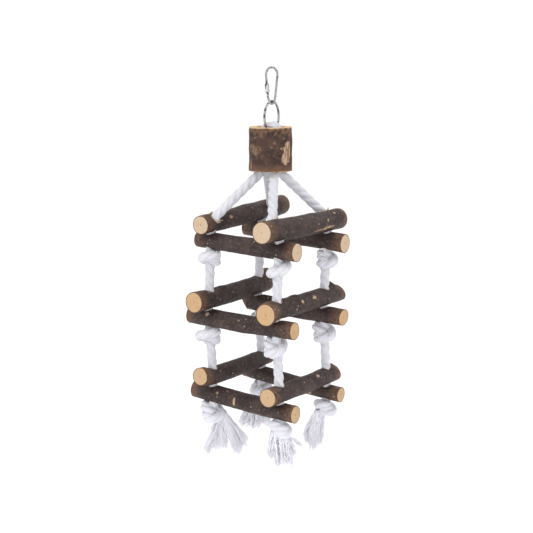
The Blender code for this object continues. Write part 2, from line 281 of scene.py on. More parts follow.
# A perch is (radii, overhangs, rises) at its first and second corner; upper perches have no rise.
TIERS = {
    "top": {
        "middle": (-0.0024, -0.0002),
        "height": -0.1778,
        "front": ((0.0088, 0.0093), (0.017, 0.021), (0.0007, -0.0005)),
        "back": ((0.0100, 0.0099), (0.0205, 0.022), (0.0020, -0.0025)),
        "left": ((0.0098, 0.0106), (0.016, 0.041)),
        "right": ((0.0110, 0.0109), (0.028, 0.024)),
    },
    "middle": {
        "middle": (-0.0038, -0.0034),
        "height": -0.2592,
        "front": ((0.0096, 0.0090), (0.025, 0.022), (0.0000, 0.0010)),
        "back": ((0.0099, 0.0092), (0.024, 0.025), (0.0002, -0.0012)),
        "left": ((0.0102, 0.0102), (0.023, 0.015)),
        "right": ((0.0098, 0.0100), (0.017, 0.028)),
    },
    "bottom": {
        "middle": (-0.0008, -0.0008),
        "height": -0.3440,
        "front": ((0.0097, 0.0092), (0.025, 0.019), (0.0010, -0.0016)),
        "back": ((0.0088, 0.0083), (0.024, 0.0185), (0.0016, -0.0030)),
        "left": ((0.0096, 0.0090), (0.021, 0.013)),
        "right": ((0.0092, 0.0092), (0.020, 0.015)),
    },
}

# The holes in the top tier's upper perches lean inwards at the top by so many degrees, and open
# so far along the perch from the hole in the lower perch.
HOLE_LEAN = {"fl": (42, 0.0), "fr": (52, 0.0), "br": (36, 0.0), "bl": (55, 0.008)}

# Each knot's outer radius, its height, the degrees that it is turned about the rope, and how far
# its body hangs to the right of the rope.
KNOTS = {
    ("top", "fl"): (0.0132, 0.0175, 40, -0.0015), ("top", "fr"): (0.0128, 0.0180, 120, 0.0020),
    ("top", "br"): (0.0122, 0.0185, 220, 0.0025), ("top", "bl"): (0.0122, 0.0165, 80, -0.0020),
    ("middle", "fl"): (0.0142, 0.0195, 40, -0.0045), ("middle", "fr"): (0.0142, 0.0190, 200, -0.0020),
    ("middle", "br"): (0.0142, 0.0195, 220, 0.0000), ("middle", "bl"): (0.0132, 0.0170, 120, -0.0030),
    ("bottom", "fl"): (0.0145, 0.0195, 240, -0.0010), ("bottom", "fr"): (0.0125, 0.0170, 300, 0.0015),
    ("bottom", "br"): (0.0130, 0.0170, 320, -0.0015), ("bottom", "bl"): (0.0134, 0.0160, 160, -0.0030),
}


# %% Places worked out from the sizes
def corner_place(tier, corner):
    """X and Y of a tier's hole."""
    middle = TIERS[tier]["middle"]
    signs = CORNERS[corner]
    return middle[0] + signs[0] * CORNER_PITCH / 2, middle[1] + signs[1] * CORNER_PITCH / 2


def lower_perch_at(tier, corner):
    """Height and radius of the lower perch at a corner."""
    side = "front" if corner[0] == "f" else "back"
    radii, _, rises = TIERS[tier][side]
    index = SPANS[side].index(corner)
    return TIERS[tier]["height"] + rises[index], radii[index]


def upper_perch_at(tier, corner):
    """Height and radius of the upper perch at a corner, where it lies on the lower one."""
    side = "left" if corner[1] == "l" else "right"
    radius = TIERS[tier][side][0][SPANS[side].index(corner)]
    height, lower_radius = lower_perch_at(tier, corner)
    return height + lower_radius + radius + GAP, radius


def perch_at(tier, side, corner):
    """The middle of a perch at a corner, and its radius there."""
    measure = lower_perch_at if side in ("front", "back") else upper_perch_at
    height, radius = measure(tier, corner)
    return Vector((*corner_place(tier, corner), height)), radius


def knot_span(tier, corner):
    """Top and bottom of the knot that bears a tier's corner."""
    height, radius = lower_perch_at(tier, corner)
    top = height - radius - KNOT_SEAT_GAP
    return top, top - KNOTS[tier, corner][1]


def bight_leg(corner):
    """Where a rope leg hangs down inside the block, in X and Y from the block's middle."""
    slope = BIGHT_Y / math.sqrt(RING_R ** 2 - BIGHT_Y ** 2)
    reach = ROPE_R + WIRE_R + GAP + 0.36 * slope * ROPE_R
    signs = CORNERS[corner]
    return TURN_YAW @ Vector((signs[0] * reach, signs[1] * BIGHT_Y, 0.0))


def top_entry(corner):
    """Where a leg enters the leaning hole of the top tier's upper perch."""
    x, y = corner_place("top", corner)
    height, radius = upper_perch_at("top", corner)
    degrees, along = HOLE_LEAN[corner]
    lean = math.radians(degrees)
    inwards = -CORNERS[corner][0] * radius * math.sin(lean)
    return Vector((x + inwards, y + along, height + radius * math.cos(lean)))


def leg_route(corner):
    """Corner points of a rope leg, from the foot of the block down to the rope's end."""
    inner = bight_leg(corner)
    route = [Vector((inner.x + BLOCK_MIDDLE[0], inner.y + BLOCK_MIDDLE[1], BLOCK_BOTTOM))]
    for tier in TIERS:
        x, y = corner_place(tier, corner)
        if tier == "top":
            route.append(top_entry(corner))
        between = (upper_perch_at(tier, corner)[0] + lower_perch_at(tier, corner)[0]) / 2
        route.append(Vector((x, y, between)))
    route.append(Vector((*corner_place("bottom", corner), knot_span("bottom", corner)[1])))
    return route


def distances_along(line):
    """How far each point of a line is from its start, along the line."""
    runs = np.linalg.norm(np.diff(line[:, :3], axis=0), axis=1)
    return np.concatenate([[0.0], np.cumsum(runs)])


def resampled(line, count):
    """The same line with so many points, evenly spaced; columns after Z are carried along."""
    along = distances_along(line)
    at = np.linspace(0.0, along[-1], count)
    return np.stack([np.interp(at, along, column) for column in line.T], axis=1)


def evenly(line, step):
    """The same line with points a step apart."""
    return resampled(line, max(2, int(round(distances_along(line)[-1] / step)) + 1))


def rounded_path(corners, radius, step):
    """Points along straight runs whose corners are eased by a bend of the given radius."""
    points = [corners[0]]
    for before, corner, after in zip(corners, corners[1:], corners[2:]):
        back = (before - corner).normalized()
        ahead = (after - corner).normalized()
        turn = math.pi - back.angle(ahead)
        reach = radius * math.tan(turn / 2)
        start = corner + back * reach
        end = corner + ahead * reach
        pieces = max(3, round(turn / math.radians(14)))
        for k in range(pieces + 1):
            t = k / pieces
            points.append(start.lerp(corner, t).lerp(corner.lerp(end, t), t))
    points.append(corners[-1])
    return evenly(np.array(points), step)


# %% [markdown]
# ## The ropes and their knots
# Each rope is one piece of three-strand white cotton.  It goes up through the left corner of all
# three tiers, over the ring, and down through the right corners, with an overhand knot under each
# corner to bear the wood.  A knot drawn by hand never looks pulled tight, so the line of one knot
# is relaxed instead: a loose loop is smoothed again and again, which shortens it, and any two
# parts that come nearer than the rope's own thickness are pushed apart.  What is left is the
# shape that a real knot pulls itself into.


# %% The line of a tight overhand knot
KNOT_NODES = 48
KNOT_ROUNDS = 1500
KNOT_REACH = 1.6             # from the knot's middle to its ends, in rope diameters


def loose_loop():
    """An open three-lobed loop about the rope's axis, with both ends on the axis."""
    opening = 0.30
    turn = np.linspace(math.pi + opening, 3 * math.pi - opening, 60)
    size = 0.62
    across = (np.cos(turn) - 2 * np.cos(2 * turn) + 2.2) * size
    deep = -np.sin(3 * turn) * size
    rise = (np.sin(turn) + 2 * np.sin(2 * turn)) * size
    lead = np.array([[0.0, 0.0, 4.0], [-0.4, 0.0, 2.0]])
    tail = (lead * [1, 1, -1])[::-1]
    return np.concatenate([lead, np.stack([across, deep, rise], axis=1), tail])


def evened(line):
    """The knot's line with its nodes evenly spaced, and their distance from each other."""
    return resampled(line, KNOT_NODES), distances_along(line)[-1] / (KNOT_NODES - 1)


def tight_knot():
    """The loop pulled tight, for a rope one unit thick, with its body centred on the axis."""
    line, spacing = evened(loose_loop())
    index = np.arange(KNOT_NODES)
    apart = np.abs(index[:, None] - index[None, :])
    for k in range(KNOT_ROUNDS):
        pull = min(1.0, k / (0.3 * KNOT_ROUNDS))
        reach = 4.0 + (KNOT_REACH - 4.0) * pull
        for _ in range(3):
            line[1:-1] += 0.5 * (0.5 * (line[:-2] + line[2:]) - line[1:-1])
            line[0], line[-1] = (0, 0, reach), (0, 0, -reach)
            line[1], line[-2] = (0, 0, reach - spacing), (0, 0, spacing - reach)
        for _ in range(3):
            gaps = line[:, None] - line[None, :]
            far = np.sqrt((gaps * gaps).sum(axis=2))
            near = (apart * spacing > 1.7) & (far < 1.0)
            push = np.where(near, (1.0 - far) / np.maximum(far, 1e-6), 0.0)
            share = np.maximum(1, near.sum(axis=1))[:, None]
            line = line + 0.5 * (push[:, :, None] * gaps).sum(axis=1) / share
        line, spacing = evened(line)
    middle = (line[:, 0].min() + line[:, 0].max()) / 2
    line[:, 0] -= middle * np.clip(1.25 - np.abs(line[:, 2]), 0.0, 0.5) / 0.5
    return line


KNOT_LINE = tight_knot()
KNOT_BODY = np.abs(KNOT_LINE[np.hypot(KNOT_LINE[:, 0], KNOT_LINE[:, 1]) > 0.2]).max(axis=0)
print("knot reaches", KNOT_BODY.round(2), "rope diameters from its middle")

# %% One leg with its knots
SIDEWAYS = np.array([0.807, 0.591, 0.0])     # to the right as the ladder hangs
ROPE_STEP = 0.0011
KNOT_GIRTH = 1.10            # a rope swells where a knot bends it
BIGHT_GIRTH = 0.86           # and is pressed thinner where it bears on the ring


def axis_at(line, height):
    """The point of a falling line at a height."""
    return np.array([np.interp(-height, -line[:, 2], line[:, axis]) for axis in (0, 1)])


def knot_points(line, tier, corner):
    """The tight knot, fitted to its place on a leg."""
    radius, height, turn, aside = KNOTS[tier, corner]
    top, bottom = knot_span(tier, corner)
    half_rope = ROPE_R * KNOT_GIRTH
    wide = (radius - half_rope) / max(KNOT_BODY[0], KNOT_BODY[1])
    tall = (height / 2 + KNOT_SEAT_GAP - half_rope) / KNOT_BODY[2]
    angle = math.radians(turn)
    spin = np.array([[math.cos(angle), math.sin(angle)], [-math.sin(angle), math.cos(angle)]])
    points = []
    for x, y, z in KNOT_LINE:
        level = (top + bottom) / 2 + z * tall
        hang = SIDEWAYS[:2] * aside * max(0.0, 1.0 - abs(z) / KNOT_REACH)
        points.append((*(axis_at(line, level) + hang + np.array([x, y]) @ spin * wide), level))
    return np.array(points)


def leg_line(corner):
    """A leg from the foot of the block to its end, and its thickness as a share of the rope's."""
    straight = rounded_path(leg_route(corner), TURN_R, ROPE_STEP)
    pieces = []
    above = straight[0, 2] + ROPE_STEP
    for tier in TIERS:
        knot = knot_points(straight, tier, corner)
        run = straight[(straight[:, 2] < above) & (straight[:, 2] > knot[0, 2])]
        pieces += [(run, 1.0), (knot[1:-1], KNOT_GIRTH)]
        above = knot[-1, 2]
    pieces.append((straight[straight[:, 2] < above], 1.0))
    line = np.concatenate([points for points, _ in pieces])
    girth = np.concatenate([np.full(len(points), share) for points, share in pieces])
    return line, girth


def bight_line(front):
    """Over the ring from the left leg to the right one, a little flattened by the load."""
    left, right = ("fl", "fr") if front else ("bl", "br")
    starts = [bight_leg(left), bight_leg(right)]
    crown = WIRE_R + GAP + ROPE_R * BIGHT_GIRTH + RING_R - math.sqrt(RING_R ** 2 - BIGHT_Y ** 2)
    points = []
    for k in range(13):
        angle = math.pi * (1 - k / 12)
        share = (math.cos(angle) + 1) / 2
        base = starts[0].lerp(starts[1], share)
        points.append((base.x, base.y, RING_FOOT + crown * math.sin(angle)))
    return np.array(points)


def smoothed(line, rounds):
    """The line with its small kinks eased and its ends kept."""
    eased = line.copy()
    for _ in range(rounds):
        eased[1:-1] = 0.5 * eased[1:-1] + 0.25 * (eased[:-2] + eased[2:])
    return eased


def rope_line(front):
    """One whole rope from its left end to its right end, with its radius at each point."""
    left, right = ("fl", "fr") if front else ("bl", "br")
    left_line, left_girth = leg_line(left)
    right_line, right_girth = leg_line(right)
    over = bight_line(front)
    line = np.concatenate([left_line[::-1], over, right_line])
    girth = np.concatenate([left_girth[::-1], np.full(len(over), BIGHT_GIRTH), right_girth])
    joined = resampled(np.column_stack([line, girth]), int(distances_along(line)[-1] / ROPE_STEP))
    joined = smoothed(joined, 4)
    return joined[:, :3], ROPE_R * joined[:, 3]


ROPE_LINES = {name: rope_line(name == "rope_front") for name in ("rope_front", "rope_back")}
for name, (line, _) in ROPE_LINES.items():
    print(name, "is", round(float(distances_along(line)[-1]), 3), "m long")

# %% [markdown]
# ## Three strands
# A laid rope is three strands wound round each other, and each strand is many soft yarns.  The
# strands are modelled as three tubes that wind round the rope's line, so that the outline has the
# rope's soft waves.  The yarns are finer than any mesh should be, so they are relief on the
# strands' own UV map, which follows every bend.

# %% Tubes along lines
OBJECTS = bpy.context.scene.collection


def add_piece(name, mesh, paint=None):
    """Show a mesh as a piece of the ladder, with its material."""
    if paint:
        mesh.materials.clear()
        mesh.materials.append(paint.material)
    mesh.shade_smooth()
    piece = bpy.data.objects.new(name, mesh)
    OBJECTS.objects.link(piece)
    return piece


def tube_mesh(name, lines, radii, sides):
    """Closed tubes along lines of points, as one mesh with a UV map along and around them."""
    curve = bpy.data.curves.new(name, "CURVE")
    curve.dimensions = "3D"
    curve.bevel_depth = 1.0
    curve.bevel_resolution = (sides - 4) // 2
    curve.use_fill_caps = True
    for line, widths in zip(lines, radii):
        spline = curve.splines.new("POLY")
        spline.points.add(len(line) - 1)
        spline.points.foreach_set("co", np.column_stack([line, np.ones(len(line))]).ravel())
        spline.points.foreach_set("radius", np.broadcast_to(widths, len(line)).copy())
    holder = bpy.data.objects.new(name + "_line", curve)
    OBJECTS.objects.link(holder)
    graph = bpy.context.evaluated_depsgraph_get()
    mesh = bpy.data.meshes.new_from_object(holder.evaluated_get(graph))
    bpy.data.objects.remove(holder)
    shell = bmesh.new()
    shell.from_mesh(mesh)
    bmesh.ops.remove_doubles(shell, verts=shell.verts, dist=1e-6)
    shell.to_mesh(mesh)
    shell.free()
    mesh.name = name
    return mesh


def steady_frames(line):
    """Two directions across the line at each point, which turn as little as they can."""
    along = np.gradient(line, axis=0)
    along /= np.linalg.norm(along, axis=1)[:, None]
    across = np.zeros_like(line)
    side = np.cross(along[0], (0.0, 1.0, 0.0))
    for k, direction in enumerate(along):
        side = side - direction * side.dot(direction)
        side = side / np.linalg.norm(side)
        across[k] = side
    return across, np.cross(along, across)


# %% The cotton's finish
ROPE_LAY = 0.031             # along the rope for one turn of its strands
YARN_LAY = 0.012             # along a strand for one turn of its yarns
YARNS_SEEN = 11              # yarns round a strand
STRAND_LENGTH = 1.12         # from one end of a rope to the other, about


def cotton_paint(name, yarns, turns, depth, shaded, lit):
    """Soft white cotton, with yarns that make so many turns round each strand, and painted shade in the
    grooves between the yarns, lighter on their crests.
    """
    paint = Paint(name, Roughness=0.92, Sheen_Weight=0.25, Sheen_Roughness=0.6)
    paint.set(Specular_IOR_Level=0.15)
    strand_map = {"Vector": paint.node("ShaderNodeUVMap")}
    onwards = paint.node("ShaderNodeSeparateXYZ", sockets=strand_map, output="X")
    around = paint.node("ShaderNodeSeparateXYZ", sockets=strand_map, output="Y")
    place = paint.object_place()
    wander = paint.noise(place, 260.0, 2.0) - 0.5
    phase = (around * yarns + onwards * turns * yarns + wander * 0.9) * math.tau
    yarn = paint.math("SINE", phase) * 0.5 + 0.5
    fuzz = paint.noise(place, 2600.0, 4.0, 0.7)
    broad = paint.noise(place, 45.0, 2.0)
    shade = yarn * 0.35 + fuzz * 0.35 + broad * 0.3
    # Painted shade: the shaded tone lies in the grooves between the yarns and the lit tone on their
    # crests, with random tone from the fuzz and broad noise mixed in.
    paint.set(Base_Color=paint.mix(paint.step(shade, 0.25, 0.7), shaded, lit))
    paint.relief(yarn * 0.6 + fuzz * 0.5, depth)
    return paint


# The painted shade between the rope's yarns, and the lit tone of their crests.
LAID_TONES = tone(204, 203, 214), tone(244, 244, 249)
ROPE_COTTON = cotton_paint("laid_cotton", YARNS_SEEN, STRAND_LENGTH / YARN_LAY, 0.0006, *LAID_TONES)


# %% Both ropes
STRAND_OFFSET = 0.44         # a strand's middle from the rope's, as a share of the rope's radius
STRAND_R = 0.68              # and its own radius


def strand_lines(line, radii):
    """Three lines that wind round a rope's own line."""
    across, over = steady_frames(line)
    along = distances_along(line)
    lines = []
    for strand in range(3):
        angle = math.tau * (strand / 3 - along / ROPE_LAY)
        offset = across * np.cos(angle)[:, None] + over * np.sin(angle)[:, None]
        lines.append(line + offset * (radii * STRAND_OFFSET)[:, None])
    return lines


ROPES = {}
for name, (line, radii) in ROPE_LINES.items():
    mesh = tube_mesh(name + "_strands", strand_lines(line, radii), [radii * STRAND_R] * 3, 12)
    ROPES[name] = add_piece(name + "_strands", mesh, ROPE_COTTON)
    print(name, len(mesh.polygons), "faces")

# %% [markdown]
# ## The frayed ends
# Below its last knot each rope is left unlaid, so that its yarns hang as a tassel for the birds to
# preen.  The yarns keep the crimp of the lay, hang together in a few locks, and end at uneven
# lengths.  Each yarn is one thin tube with few sides, because there are hundreds of them.

# %% Locks of yarn
# Where each tassel leaves its knot: sideways, upwards, and how wide it is there.
TASSEL_HEADS = {
    "fl": (0.0085, 0.0090, 0.0050), "fr": (0.0000, 0.0060, 0.0086),
    "br": (-0.0070, 0.0045, 0.0055), "bl": (-0.0040, 0.0030, 0.0060),
}
# The locks of each tassel: how far the tip is sideways and below the rope's end, its spread
# there, how far sideways its knee is, and its share of the yarns.
LOCKS = {
    "fl": (
        (-0.0085, 0.0395, 0.0034, 0.0020, 0.22), (0.0080, 0.0340, 0.0066, 0.0060, 0.26),
        (0.0275, 0.0375, 0.0056, 0.0180, 0.34), (0.0340, 0.0290, 0.0036, 0.0220, 0.18),
    ),
    "fr": (
        (0.0045, 0.0305, 0.0100, 0.0020, 0.60), (-0.0065, 0.0235, 0.0048, -0.0070, 0.16),
        (0.0150, 0.0220, 0.0046, 0.0110, 0.19), (0.0240, 0.0110, 0.0020, 0.0120, 0.05),
    ),
    "br": (
        (-0.0130, 0.0400, 0.0060, -0.0150, 0.50), (-0.0205, 0.0325, 0.0044, -0.0180, 0.27),
        (-0.0075, 0.0350, 0.0038, -0.0080, 0.23),
    ),
    "bl": (
        (-0.0200, 0.0360, 0.0060, -0.0130, 0.32), (-0.0085, 0.0385, 0.0070, -0.0070, 0.36),
        (0.0040, 0.0370, 0.0060, 0.0020, 0.32),
    ),
}
YARNS = 480                  # in each tassel
YARNS_TOGETHER = 8           # that cling to each other in a wisp
YARN_POINTS = 15
YARN_R = 0.00037
CRIMP = 0.0006               # how far a yarn swings to either side, from the lay
CRIMP_LENGTH = 0.0095
STRAY = 0.0006               # how far a yarn strays from its wisp at the knot
STRAY_AT_TIP = 2.2           # times as far at the tip
UNEVEN_TIPS = 0.0018
# The painted shade between the tassel's yarns, and the lit tone of their crests.
UNLAID_TONES = tone(234, 233, 243), tone(245, 244, 252)
TASSEL_COTTON = cotton_paint("unlaid_cotton", 3, 9.0, 0.0001, *UNLAID_TONES)
TASSEL_COTTON.set(Sheen_Weight=0.6, Subsurface_Weight=0.3, Subsurface_Scale=0.0006)
TASSEL_COTTON.set(Subsurface_Radius=(1.0, 1.0, 1.0))


def yarn_line(start, knee, tip, phase, rng):
    """One crimped yarn from its knot to its tip."""
    t = np.linspace(0.0, 1.0, YARN_POINTS)[:, None]
    line = (1 - t) ** 2 * start + 2 * t * (1 - t) * knee + t ** 2 * tip
    waves = math.tau * t[:, 0] * np.linalg.norm(tip - start) / CRIMP_LENGTH
    swing = CRIMP * np.minimum(1.0, 2.5 * t[:, 0]) * rng.uniform(0.5, 1.4)
    own = phase + rng.normal(0.0, 0.5, 2)
    line[:, 0] += swing * np.sin(waves + own[0])
    line[:, 1] += swing * np.cos(waves * 0.87 + own[1])
    return line


def on_disc(rng):
    """A random point of a flat disc of radius one."""
    angle = rng.uniform(0, math.tau)
    reach = math.sqrt(rng.uniform())
    return np.array([math.cos(angle) * reach, math.sin(angle) * reach, 0.0])


def make_tassel(corner):
    """The yarns below one corner's last knot."""
    rng = np.random.default_rng(sum(ord(letter) for letter in corner))
    foot = np.array([*corner_place("bottom", corner), knot_span("bottom", corner)[1]])
    across, lift, width = TASSEL_HEADS[corner]
    head = foot + SIDEWAYS * across + np.array([0.0, 0.0, lift])
    lines, radii = [], []
    for tip_across, drop, spread, knee_across, share in LOCKS[corner]:
        for _ in range(max(1, round(YARNS * share / YARNS_TOGETHER))):
            phase = rng.uniform(0, math.tau, 2)
            place = on_disc(rng)
            wisp_drop = drop * rng.uniform(0.80, 1.06)
            for _ in range(YARNS_TOGETHER):
                stray = rng.normal(0.0, STRAY, 3)
                start = head + place * width + stray
                knee = foot + SIDEWAYS * knee_across + place * (width + spread) / 2 + stray
                knee[2] = foot[2] + lift - 0.4 * (drop + lift)
                tip = foot + SIDEWAYS * tip_across + place * spread + STRAY_AT_TIP * stray
                tip[2] = foot[2] - wisp_drop + rng.normal(0.0, UNEVEN_TIPS)
                lines.append(yarn_line(start, knee, tip, phase, rng))
                radii.append(np.linspace(1.0, 0.6, YARN_POINTS) * YARN_R * rng.uniform(0.8, 1.2))
    mesh = tube_mesh("tassel_yarns_" + corner, lines, radii, 6)
    piece = add_piece("tassel_yarns_" + corner, mesh, TASSEL_COTTON)
    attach(piece, "ropes")
    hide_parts("tassel_" + corner)
    return piece


TASSEL_PIECES = {corner: make_tassel(corner) for corner in CORNERS}
print("tassel faces:", {corner: len(piece.data.polygons) for corner, piece in TASSEL_PIECES.items()})

# %% Attach the ropes and hide the fixed model's ropes and knots
for name, ends in (("rope_front", ("fl", "fr")), ("rope_back", ("bl", "br"))):
    rope = ROPES[name]
    line = ROPE_LINES[name][0]
    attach(rope, "ropes")
    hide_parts(name, *[f"knot_{tier}_{corner}" for tier in TIERS for corner in ends])

# %% [markdown]
# ## The perches
# Each perch is a cut branch with its bark left on: nearly round, a little bowed, with pores, old
# twig scars and nubs, and two sawn ends that show the wood.  A branch is a tube of small cells,
# and one function says where each cell's corner goes.  That function keeps the fixed model's
# middle line and radius, and adds the nubs, scars and slanted cuts that are named below, so that
# every branch is its own.

# %% What is special about each branch
# Distances are millimetres from the first corner's hole; angles are degrees from straight up
# towards the open side, which is the front of a lower perch and the right of an upper one.
NUBS = {                     # distance, angle, width, height
    ("top", "left"): ((58, 0, 8, 0.9), (-9, 10, 4, 0.5)),
    ("top", "right"): ((52, 10, 9, 0.7), (106, 20, 5, 0.8)),
    ("middle", "left"): ((20, 15, 4, 1.0), (100, 0, 7.0, 6.2)),
    ("middle", "right"): ((30, 5, 4.5, 1.5), (104, -20, 4.2, 5.2), (12, 20, 6, 0.6)),
    ("middle", "front"): ((50, 150, 8, 0.8),),
    ("middle", "back"): ((-12, 120, 5, 1.6), (6, 60, 4, 1.0)),
    ("bottom", "left"): ((-17, 22, 3.2, 2.4), (70, 0, 7, 0.8)),
    ("bottom", "right"): ((97, 0, 3.4, 3.6), (30, 20, 8, 0.7)),
    ("bottom", "front"): ((60, 0, 9, 0.6),),
}
SCARS = {                    # distance, angle, half length, half width round the branch
    ("top", "left"): ((0, 42, 5.2, 5.4), (96, 55, 5.0, 5.2), (22, 66, 2.2, 1.8)),
    ("top", "right"): (
        (0, -52, 5.8, 5.2), (87.6, -36, 5.4, 5.0), (62, 122, 12, 1.0), (76, 112, 10, 1.3),
        (92, 35, 1.8, 1.3), (73, 72, 1.5, 1.6),
    ),
    ("middle", "front"): ((4, 55, 2.3, 2.2), (47, 60, 1.1, 1.0)),
    ("middle", "right"): ((33, 62, 1.9, 1.9), (56, 55, 2.6, 2.2), (22, 100, 1.2, 1.2)),
    ("middle", "back"): ((-10, 150, 6.0, 4.0),),
    ("bottom", "front"): ((36, 85, 1.5, 4.4), (12, 60, 1.2, 1.4)),
    ("bottom", "right"): ((60, 40, 2.6, 1.8),),
    ("bottom", "back"): ((64, 112, 9, 3.6),),
}
CUTS = {                     # slopes of the two sawn ends, upwards and towards the open side
    ("middle", "back"): ((-0.70, 0.95), (0.05, -0.05)),
    ("middle", "right"): ((0.04, 0.05), (-0.55, 0.20)),
    ("middle", "left"): ((0.06, 0.02), (0.25, 0.30)),
    ("bottom", "right"): ((0.05, 0.03), (-0.30, 0.10)),
    ("top", "left"): ((0.03, 0.06), (0.10, 0.12)),
}
PLAIN_CUT = ((0.04, 0.05), (-0.05, 0.04))
FIRST_ENDS = {               # how much thicker than the rest a first end is, and how far it rises
    ("middle", "right"): (0.16, -0.0026), ("middle", "left"): (0.08, 0.0000),
    ("bottom", "left"): (-0.02, 0.0032), ("bottom", "right"): (0.06, -0.0004),
}
CELL = 0.0009
CUT_REACH = 0.018            # how far from an end its slanted cut still moves the cells
END_WEAR = 0.016             # how far from an end the bark is rubbed brown
SCAR_DEPTH = 0.00045
RAGGED = 0.105               # how ragged a scar's edge is
WOBBLE = 0.00042             # how far the bark strays from round
BARK_RIM = 0.075             # bark's share of the radius on a sawn end
END_TONES = {"top": (210, 189, 164), "middle": (204, 172, 135), "bottom": (202, 173, 140)}


# %% A unit branch: a tube of cells with two sawn ends
def cell_tube(length, radius):
    """An upright tube, one unit thick and long, cut into cells, with ringed caps."""
    shell = bmesh.new()
    around = int(math.tau * radius / CELL)
    bmesh.ops.create_cone(shell, cap_ends=False, segments=around, radius1=1.0, radius2=1.0, depth=1.0)
    upright = [edge for edge in shell.edges if abs(edge.verts[0].co.z - edge.verts[1].co.z) > 0.5]
    bmesh.ops.subdivide_edges(shell, edges=upright, cuts=int(length / CELL), use_grid_fill=True)
    for level in (-0.5, 0.5):
        rim = [edge for edge in shell.edges if edge.is_boundary and abs(edge.verts[0].co.z - level) < 1e-4]
        cap = bmesh.ops.edgeloop_fill(shell, edges=rim)["faces"]
        bmesh.ops.inset_region(shell, faces=cap, thickness=BARK_RIM, use_even_offset=True)
        for face in cap:
            face.material_index = 1
        for thickness in (0.03, 0.22, 0.22, 0.2):
            ringed = bmesh.ops.inset_region(shell, faces=cap, thickness=thickness, use_even_offset=True)
            for face in ringed["faces"]:
                face.material_index = 1
        bmesh.ops.poke(shell, faces=cap)
    bmesh.ops.recalc_face_normals(shell, faces=shell.faces)
    return shell


def ease(value):
    """A soft step from 0 to 1 as value goes from 0 to 1."""
    value = min(1.0, max(0.0, value))
    return value * value * (3 - 2 * value)


def lump(distance, angle, base, at, degrees, width, girth):
    """A soft hump, 1 at its middle, of a width and a girth in millimetres."""
    turn = (angle - math.radians(degrees) + math.pi) % math.tau - math.pi
    along = (distance * 1000 - at) / width
    around = turn * base * 1000 / girth
    return math.exp(-0.5 * (along * along + around * around))


class Branch:
    """One perch: where the middle of the branch is, and what its surface does."""

    def __init__(self, tier, side):
        first, second = SPANS[side]
        self.key = (tier, side)
        self.start, self.first_radius = perch_at(tier, side, first)
        end, self.second_radius = perch_at(tier, side, second)
        self.overhangs = TIERS[tier][side][1]
        self.along = (end - self.start).normalized()
        self.span = (end - self.start).length
        self.side = self.along.cross(Vector((0, 0, 1))).normalized()
        self.up = self.side.cross(self.along)
        self.length = self.span + sum(self.overhangs)
        self.swell, self.rise = FIRST_ENDS.get(self.key, (0.0, 0.0))
        self.seed = 7.3 * (list(TIERS).index(tier) * 4 + list(SPANS).index(side))

    def middle(self, distance):
        bend = BOW * math.sin(math.pi * distance / self.span)
        lift = self.rise * self.outwards(distance) ** 2
        return self.start + self.along * distance + self.side * bend + self.up * lift

    def outwards(self, distance):
        """How near a place is to the first end, from 0 at the first hole to 1."""
        return min(1.0, max(0.0, -distance / self.overhangs[0]))

    def radius(self, distance, angle):
        """The bark's distance from the middle line, and how bare the wood is there."""
        share = distance / self.span
        base = self.first_radius + (self.second_radius - self.first_radius) * share
        base *= 1 + self.swell * ease(self.outwards(distance) * 1.4)
        round_place = Vector((distance, base * math.cos(angle), base * math.sin(angle)))
        seeded = round_place + Vector((self.seed, 0, 0))
        wobble = WOBBLE * noise.fractal(seeded * 45, 1.0, 2.0, 2)
        fibres = Vector((seeded.x * 160, seeded.y * 420, seeded.z * 420))
        wrinkle = 0.00016 * noise.fractal(fibres, 1.0, 2.0, 3)
        result = base + wobble + wrinkle
        for at, degrees, width, height in NUBS.get(self.key, ()):
            result += 0.001 * height * lump(distance, angle, base, at, degrees, width, width * 1.15)
        bare = 0.0
        ragged = RAGGED * noise.noise(seeded * 900)
        for at, degrees, half_length, half_width in SCARS.get(self.key, ()):
            spot = lump(distance, angle, base, at, degrees, half_length, half_width)
            bare = max(bare, ease((spot + ragged - 0.45) / 0.25))
        return result - SCAR_DEPTH * bare, bare


# %% From the unit tube to a branch
def branch_mesh(branch, name):
    """The cells moved to their places, with what the bark's finish has to know."""
    shell = cell_tube(branch.length, branch.first_radius)
    place_layer = shell.verts.layers.float_vector.new("wood_place")
    bare_layer = shell.verts.layers.float.new("bare")
    end_layer = shell.verts.layers.float.new("near_end")
    cuts = CUTS.get(branch.key, PLAIN_CUT)
    for vert in shell.verts:
        reach = math.hypot(vert.co.x, vert.co.y)
        angle = math.atan2(vert.co.y, vert.co.x)
        distance = (vert.co.z + 0.5) * branch.length - branch.overhangs[0]
        radius, bare = branch.radius(distance, angle)
        up = reach * radius * math.cos(angle)
        side = reach * radius * math.sin(angle)
        to_ends = (distance + branch.overhangs[0], branch.length - branch.overhangs[0] - distance)
        slanted = distance
        for to_end, (up_slope, side_slope) in zip(to_ends, cuts):
            slanted += ease(1 - to_end / CUT_REACH) * (up_slope * up + side_slope * side)
        vert.co = branch.middle(slanted) + branch.up * up + branch.side * side
        vert[place_layer] = Vector((slanted + branch.seed, up, side))
        vert[bare_layer] = bare
        vert[end_layer] = ease(1 - min(to_ends) / END_WEAR)
    return finished_mesh(name, shell)


# %% [markdown]
# ## Bark and wood
# The bark of a young branch is almost black, with a grey bloom where the light strikes it, warm
# brown where the saw has rubbed it near its ends, and small pale pores.  The colours lie on the
# branch's own coordinates, saved with the mesh, so that the grain follows every bend.


